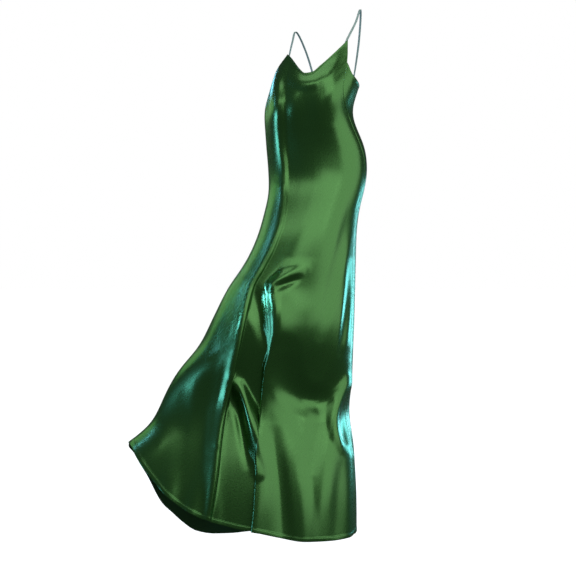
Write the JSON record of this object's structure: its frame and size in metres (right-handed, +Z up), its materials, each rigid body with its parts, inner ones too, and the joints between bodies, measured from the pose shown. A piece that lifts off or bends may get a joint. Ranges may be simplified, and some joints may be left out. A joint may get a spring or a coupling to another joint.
{
  "type": "slip dress",
  "caption": "Long bias-cut satin slip dress, worn and hollow, with a soft cowl neckline, thin shoulder straps and a flared skirt that swings to one side.",
  "frame": {"origin": "halfway between the tops of the two shoulder straps, where the wearer holds the dress up", "axes": "+Z up, the front faces -Y, and +X is to the wearer's left"},
  "size_m": [0.6358, 0.4359, 1.4649],
  "materials": {
    "satin": "glossy satin with soft broad highlights",
    "strap": "narrow satin tube, pressed flat"
  },
  "bodies": {
    "root": {"front_panel": "satin", "back_panel": "satin", "left_strap": "strap", "right_strap": "strap"}
  },
  "joints": []
}
